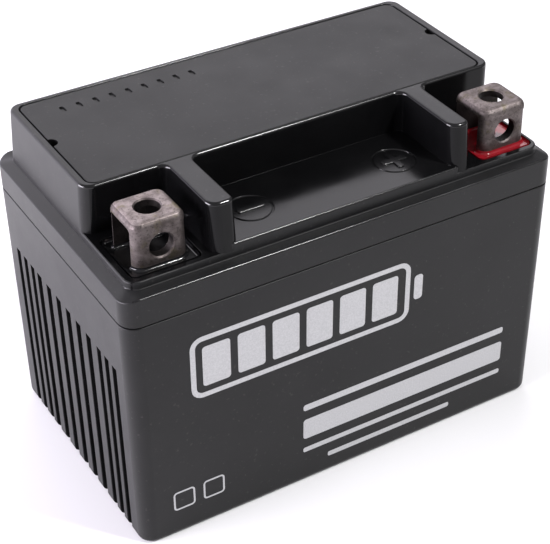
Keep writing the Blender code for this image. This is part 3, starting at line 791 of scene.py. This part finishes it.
class Nodes:
    """A short way to build a node tree for one material."""

    def __init__(self, name):
        self.material = bpy.data.materials.new(name)
        self.material.use_nodes = True
        self.tree = self.material.node_tree
        self.shader = self.tree.nodes["Principled BSDF"]
        self.coords = self.tree.nodes.new("ShaderNodeTexCoord").outputs["Object"]

    def add(self, kind, inputs=None, **settings):
        made = self.tree.nodes.new(kind)
        for key, value in settings.items():
            setattr(made, key, value)
        for key, value in (inputs or {}).items():
            self.set(made.inputs[key], value)
        return made

    def set(self, socket, value):
        if isinstance(value, bpy.types.NodeSocket):
            self.tree.links.new(value, socket)
        else:
            socket.default_value = value

    def noise(self, size, detail=3.0, roughness=0.5, stretch=(1, 1, 1)):
        """Noise between about 0.3 and 0.7 whose features are the given size, in millimetres."""
        scale = [1 / (size * MM * s) for s in stretch]
        mapping = self.add("ShaderNodeMapping", {"Vector": self.coords, "Scale": scale})
        inputs = {"Vector": mapping.outputs[0], "Scale": 1.0}
        inputs.update({"Detail": detail, "Roughness": roughness})
        return self.add("ShaderNodeTexNoise", inputs).outputs["Fac"]

    def ramp(self, value, low, high, start, end):
        """The value from low..high mapped onto start..end, and held there outside."""
        inputs = {"Value": value, "From Min": low, "From Max": high, "To Min": start, "To Max": end}
        return self.add("ShaderNodeMapRange", inputs, clamp=True).outputs["Result"]

    def math(self, operation, a, b=0.0):
        return self.add("ShaderNodeMath", {0: a, 1: b}, operation=operation).outputs[0]

    def mix(self, factor, a, b):
        made = self.add("ShaderNodeMix", data_type="RGBA")
        self.set(made.inputs["Factor"], factor)
        self.set(made.inputs["A"], a)
        self.set(made.inputs["B"], b)
        return made.outputs["Result"]

    def bump(self, height, strength, distance, normal=None):
        inputs = {"Height": height, "Strength": strength, "Distance": distance * MM}
        if normal is not None:
            inputs["Normal"] = normal
        return self.add("ShaderNodeBump", inputs).outputs["Normal"]

    def finish(self, colour, roughness, normal=None, **others):
        self.set(self.shader.inputs["Base Color"], colour)
        self.set(self.shader.inputs["Roughness"], roughness)
        if normal is not None:
            self.set(self.shader.inputs["Normal"], normal)
        for key, value in others.items():
            self.set(self.shader.inputs[key.replace("_", " ")], value)
        return self.material


def rgb(r, g, b):
    return (r, g, b, 1.0)


def moulded_plastic(name, dark, light, roughness, grain, gloss, dust):
    """Black polypropylene: fine spark-eroded grain, faint flow clouds, dust and hair scratches."""
    n = Nodes(name)
    clouds = n.noise(14.0, 4.0, 0.6)
    specks = n.ramp(n.noise(0.9, 2.0), 0.66, 0.74, 0.0, 1.0)
    colour = n.mix(n.ramp(clouds, 0.35, 0.65, 0.0, 1.0), dark, light)
    colour = n.mix(n.math("MULTIPLY", specks, dust), colour, rgb(0.06, 0.058, 0.055))
    scratch = n.ramp(n.noise(0.5, 2.0, 0.5, (1, 1, 60)), 0.7, 0.76, 0.0, 1.0)
    rough = n.ramp(clouds, 0.3, 0.7, roughness - 0.04, roughness + 0.04)
    rough = n.math("ADD", rough, n.math("MULTIPLY", scratch, 0.06))
    fine = n.noise(0.28, 2.0, 0.6)
    normal = n.bump(fine, grain, 0.02)
    normal = n.bump(n.noise(5.0, 2.0), 0.12, 0.08, normal)
    return n.finish(colour, rough, normal, Specular_IOR_Level=gloss)


def cast_lead(name, seed, shade=1.0):
    """Dull lead: pinkish grey oxide with darker pits, olive and brown stains, and file marks."""
    n = Nodes(name)
    blotch = n.noise(2.6 + 0.2 * seed, 5.0, 0.65)
    stain = n.noise(3.6 - 0.3 * seed, 3.0, 0.6)
    pits = n.ramp(n.noise(0.5, 3.0, 0.6), 0.54, 0.66, 0.0, 1.0)
    dark = rgb(shade * 0.13, shade * 0.108, shade * 0.103)
    light = rgb(shade * 0.24, shade * 0.205, shade * 0.2)
    olive = rgb(shade * 0.13, shade * 0.11, shade * 0.06)
    soot = rgb(shade * 0.05, shade * 0.042, shade * 0.04)
    base = n.mix(n.ramp(blotch, 0.36, 0.62, 0.0, 1.0), dark, light)
    base = n.mix(n.ramp(stain, 0.54, 0.64, 0.0, 0.6), base, olive)
    base = n.mix(n.math("MULTIPLY", pits, 0.6), base, soot)
    rough = n.ramp(blotch, 0.3, 0.7, 0.62, 0.5)
    normal = n.bump(n.noise(0.35, 3.0, 0.65), 0.35, 0.06)
    normal = n.bump(n.noise(1.7, 3.0), 0.3, 0.2, normal)
    return n.finish(base, rough, normal, Metallic=0.9)


def resin(name, colour, deep):
    """Poured epoxy: glossy and slightly wavy, its colour varying in soft clouds."""
    n = Nodes(name)
    tint = n.mix(n.ramp(n.noise(3.0, 3.0), 0.35, 0.65, 0.0, 1.0), deep, colour)
    rough = n.ramp(n.noise(1.2, 4.0, 0.6), 0.35, 0.7, 0.08, 0.18)
    normal = n.bump(n.noise(1.8, 2.0), 0.35, 0.12)
    return n.finish(tint, rough, normal, Specular_IOR_Level=0.5)


def ink():
    n = Nodes("screen_ink")
    patchy = n.noise(0.35, 3.0, 0.6)
    worn = n.ramp(n.noise(2.2, 5.0, 0.7), 0.66, 0.78, 0.0, 0.5)
    colour = n.mix(n.ramp(patchy, 0.35, 0.65, 0.0, 1.0), rgb(0.41, 0.41, 0.42), rgb(0.5, 0.5, 0.51))
    colour = n.mix(worn, colour, rgb(0.2, 0.2, 0.2))
    rough = n.ramp(patchy, 0.3, 0.7, 0.5, 0.65)
    return n.finish(colour, rough, n.bump(patchy, 0.2, 0.01), Specular_IOR_Level=0.3)


def rubber():
    n = Nodes("valve_rubber")
    cloud = n.noise(1.5, 4.0)
    colour = n.mix(cloud, rgb(0.012, 0.012, 0.012), rgb(0.03, 0.029, 0.028))
    rough = n.ramp(cloud, 0.3, 0.7, 0.65, 0.85)
    return n.finish(colour, rough, n.bump(n.noise(0.3, 2.0), 0.3, 0.03))


def plate_paste(name, dark, light):
    """Cured active paste on a grid: chalky, with the grid's lines showing through."""
    n = Nodes(name)
    cloud = n.noise(2.5, 5.0, 0.7)
    colour = n.mix(n.ramp(cloud, 0.35, 0.65, 0.0, 1.0), dark, light)
    inputs = {"Vector": n.coords, "Scale": 120.0, "Distortion": 1.5}
    waves = n.add("ShaderNodeTexWave", inputs, bands_direction="Z")
    height = n.math("ADD", n.noise(0.4, 4.0, 0.7), n.math("MULTIPLY", waves.outputs["Fac"], 0.6))
    return n.finish(colour, n.ramp(cloud, 0.3, 0.7, 0.75, 0.95), n.bump(height, 0.6, 0.12))


def glass_mat():
    n = Nodes("fibre_mat")
    strands = n.noise(0.5, 4.0, 0.7, (1, 6, 1))
    share = n.ramp(strands, 0.3, 0.7, 0.0, 1.0)
    colour = n.mix(share, rgb(0.62, 0.61, 0.58), rgb(0.86, 0.86, 0.84))
    height = n.math("ADD", strands, n.noise(0.25, 4.0, 0.7))
    return n.finish(colour, n.ramp(strands, 0.3, 0.7, 0.85, 0.98), n.bump(height, 0.7, 0.1))


def studio_floor():
    n = Nodes("studio_floor")
    cloud = n.noise(220.0, 3.0)
    colour = n.mix(cloud, rgb(0.8, 0.8, 0.8), rgb(0.84, 0.84, 0.84))
    rough = n.ramp(cloud, 0.3, 0.7, 0.85, 0.95)
    return n.finish(colour, rough, n.bump(n.noise(1.0, 2.0), 0.05, 0.05))


# ---------------------------------------------------------------- studio

FOCAL_LENGTH = 99.47
CAMERA_AZIMUTH = -30.19
CAMERA_ELEVATION = 35.53
CAMERA_ROLL = -0.80
CAMERA_PLACE = (-155.08, -266.43, 256.98)
LIGHTS_AIM = Vector((0, 0, 0.04))
SKY_COLOUR = (1.0, 0.975, 1.035, 1.0)
SKY_STRENGTH = 0.38
# Each soft box's azimuth, elevation, distance, size, power and colour
LIGHTS = {
    "key": (35, 52, 0.8, (0.09, 0.09), 5.3, (1, 1, 1)),
    "back": (169, 39, 0.8, (1.0, 0.4), 3.4, (1.0, 0.97, 1.03)),
    "left": (-100, 14, 0.7, (0.6, 0.3), 10.8, (1.0, 0.95, 1.06)),
    "left_back": (-150, 12, 0.6, (0.6, 0.25), 1.4, (1.0, 0.94, 1.1)),
}


def direction(azimuth, elevation):
    """The way out from the battery. Azimuth 0 is its front and 90 degrees its right-hand side."""
    level = math.cos(elevation)
    return Vector((math.sin(azimuth) * level, -math.cos(azimuth) * level, math.sin(elevation)))


def make_camera():
    camera = bpy.data.objects.new("camera", bpy.data.cameras.new("camera"))
    bpy.context.scene.collection.objects.link(camera)
    camera.data.lens = FOCAL_LENGTH
    camera.data.sensor_width = 36.0
    camera.data.clip_start = 0.01
    angles = (CAMERA_AZIMUTH, CAMERA_ELEVATION, CAMERA_ROLL)
    azimuth, elevation, roll = map(math.radians, angles)
    back = direction(azimuth, elevation)
    right = (-back).cross(Vector((0, 0, 1))).normalized()
    up = right.cross(-back)
    turned_right = math.cos(roll) * right + math.sin(roll) * up
    turned_up = math.cos(roll) * up - math.sin(roll) * right
    matrix = camera.matrix_world.copy()
    for column, axis in enumerate((turned_right, turned_up, back, Vector(CAMERA_PLACE) * MM)):
        for row in range(3):
            matrix[row][column] = axis[row]
    camera.matrix_world = matrix
    bpy.context.scene.camera = camera


def area_light(name, azimuth, elevation, distance, size, power, colour):
    """A soft box that faces the battery, with its angles in degrees and its distance in metres."""
    light = bpy.data.lights.new(name, "AREA")
    light.shape = "RECTANGLE"
    light.size, light.size_y = size
    light.energy = power
    light.color = colour
    obj = bpy.data.objects.new(name, light)
    bpy.context.scene.collection.objects.link(obj)
    outwards = direction(math.radians(azimuth), math.radians(elevation))
    obj.location = outwards * distance + LIGHTS_AIM
    obj.rotation_mode = "QUATERNION"
    obj.rotation_quaternion = outwards.to_track_quat("Z", "Y")
    obj.visible_camera = False


def make_studio():
    bpy.ops.mesh.primitive_plane_add(size=8.0)
    floor = bpy.context.object
    floor.name = "studio_floor"
    floor.data.materials.append(studio_floor())
    scene = bpy.context.scene
    world = bpy.data.worlds.new("studio")
    scene.world = world
    world.use_nodes = True
    sky = world.node_tree.nodes["Background"]
    sky.inputs["Color"].default_value = SKY_COLOUR
    sky.inputs["Strength"].default_value = SKY_STRENGTH
    for name, settings in LIGHTS.items():
        area_light(name, *settings)
    scene.view_settings.view_transform = "Standard"


def dress_cad_nodes():
    """Materials for the CAD nodes that stay: what lies inside the case."""
    negative_paste = plate_paste("negative_paste", rgb(0.1, 0.1, 0.105), rgb(0.2, 0.2, 0.21))
    positive_paste = plate_paste("positive_paste", rgb(0.06, 0.025, 0.015), rgb(0.15, 0.06, 0.035))
    lead = cast_lead("post_lead", 3)
    mat, black_rubber = glass_mat(), rubber()
    chosen = {
        "negative_plates": negative_paste,
        "positive_plates": positive_paste,
        "separator": mat,
        "partition_weld": lead,
        "pole_post": lead,
        "post_sealing_ring": black_rubber,
        "safety_valve": black_rubber,
    }
    for name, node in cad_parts.items():
        for start, material in chosen.items():
            if name.startswith(start):
                node.data.materials.clear()
                node.data.materials.append(material)


# Dark and light colour, roughness, grain, gloss and dust of each black plastic
PLASTICS = {
    "case_plastic": ((0.008, 0.008, 0.0083), (0.011, 0.011, 0.0114), 0.35, 0.2, 0.23, 0.35),
    "strip_plastic": ((0.0045, 0.0045, 0.0048), (0.0065, 0.0065, 0.0068), 0.42, 0.3, 0.24, 0.35),
    # Near-black plastic of the grooves: painted shade
    "groove_shade_plastic": ((0.0012, 0.0012, 0.0014), (0.002, 0.002, 0.0022), 0.5, 0.3, 0.08, 0.35),
    # Glossy plastic of the hollows: its gloss is the mould's polish; its darker colour and weaker
    # reflection are painted shade
    "glossy_shaded_plastic": ((0.003, 0.003, 0.0033), (0.0045, 0.0045, 0.0048), 0.16, 0.05, 0.17, 0.02),
    "burnished_plastic": ((0.004, 0.004, 0.0042), (0.006, 0.006, 0.0062), 0.2, 0.04, 0.5, 0.35),
    "matt_plastic": ((0.008, 0.008, 0.0083), (0.011, 0.011, 0.0114), 0.42, 0.3, 0.15, 0.35),
}
# Painted light on each block: how bright its lit top is, its walls painted as in shade, and its
# window and bolt holes painted darker still; the two blocks are painted differently lit
LEAD_SHADES = {"negative": (1.3, 0.55, 0.14), "positive": (1.05, 0.7, 0.14)}
LEAD_NAMES = ("lit_top_lead_", "shaded_wall_lead_", "shaded_hollow_lead_")
RESIN_COLOURS = {
    "negative": (rgb(0.008, 0.008, 0.009), rgb(0.005, 0.005, 0.005)),
    "positive": (rgb(0.28, 0.008, 0.015), rgb(0.2, 0.005, 0.01)),
}


def main():
    plastics = {}
    for name, (dark, light, *rest) in PLASTICS.items():
        plastics[name] = moulded_plastic(name, rgb(*dark), rgb(*light), *rest)
    case = plastics["case_plastic"]
    make_container(case, plastics["groove_shade_plastic"])
    finishes = [plastics[name + "_plastic"] for name in ("glossy_shaded", "burnished", "matt")]
    make_cover(case, *finishes)
    make_cap_strip(plastics["strip_plastic"])
    for seed, pole in enumerate(POLES):
        # Lit and shaded copies of one lead for each block's top, walls and hollows: painted light
        leads = zip(LEAD_NAMES, LEAD_SHADES[pole])
        make_terminal(pole, *(cast_lead(name + pole, seed, shade) for name, shade in leads))
    for pole in POLES:
        make_resin(pole, resin(RESIN_SLOTS[pole], *RESIN_COLOURS[pole]))
    make_print(ink())
    dress_cad_nodes()
    make_camera()
    make_studio()


main()
